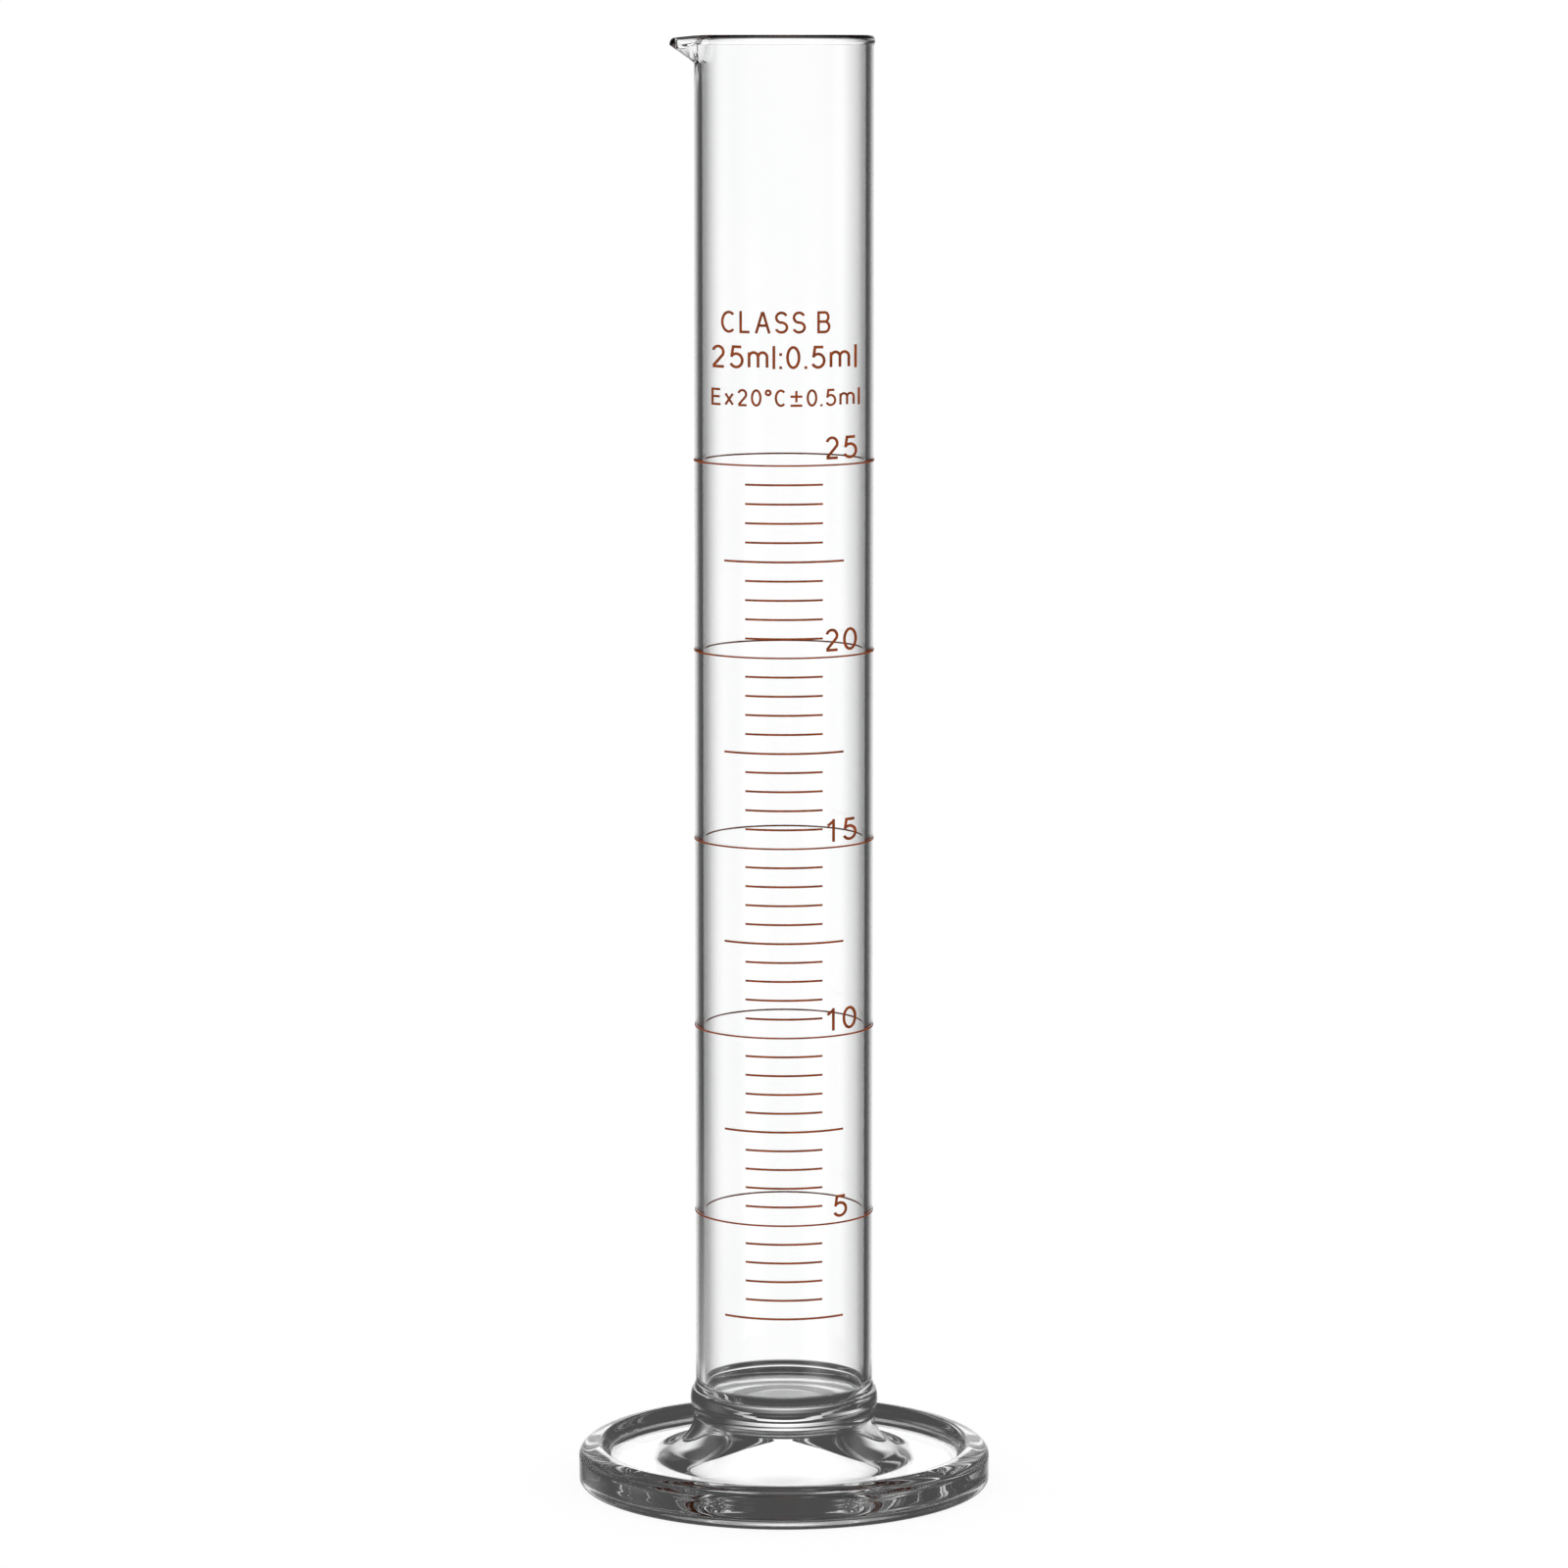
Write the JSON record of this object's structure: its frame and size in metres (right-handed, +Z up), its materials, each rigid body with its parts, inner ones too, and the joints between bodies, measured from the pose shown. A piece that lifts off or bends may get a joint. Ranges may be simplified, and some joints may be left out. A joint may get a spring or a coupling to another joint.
{
  "type": "graduated cylinder",
  "caption": "Slim glass measuring cylinder with a small pouring spout, a brown fired-enamel millilitre scale and a round pressed-glass foot.",
  "frame": {"origin": "centre of the foot's underside, on the tube's axis, at the plane the cylinder stands on", "axes": "+Z up along the tube; the printed scale faces -Y; the pouring spout points to -X"},
  "size_m": [0.0452, 0.0452, 0.158],
  "materials": {
    "glass": "clear, fire-polished",
    "enamel": "brown fired print, satin"
  },
  "bodies": {
    "root": {"barrel": "glass", "seal_collar": "glass", "foot": "glass", "ring_mark_5ml": "enamel", "ring_mark_10ml": "enamel", "ring_mark_15ml": "enamel", "ring_mark_20ml": "enamel", "ring_mark_25ml": "enamel", "half_mark_2_5ml": "enamel", "half_mark_7_5ml": "enamel", "half_mark_12_5ml": "enamel", "half_mark_17_5ml": "enamel", "half_mark_22_5ml": "enamel", "fine_marks_3_to_4_5ml": "enamel", "fine_marks_5_5_to_7ml": "enamel", "fine_marks_8_to_9_5ml": "enamel", "fine_marks_10_5_to_12ml": "enamel", "fine_marks_13_to_14_5ml": "enamel", "fine_marks_15_5_to_17ml": "enamel", "fine_marks_18_to_19_5ml": "enamel", "fine_marks_20_5_to_22ml": "enamel", "fine_marks_23_to_24_5ml": "enamel", "numeral_5": "enamel", "numeral_10": "enamel", "numeral_15": "enamel", "numeral_20": "enamel", "numeral_25": "enamel", "class_line": "enamel", "capacity_line": "enamel", "tolerance_line": "enamel"}
  },
  "joints": []
}
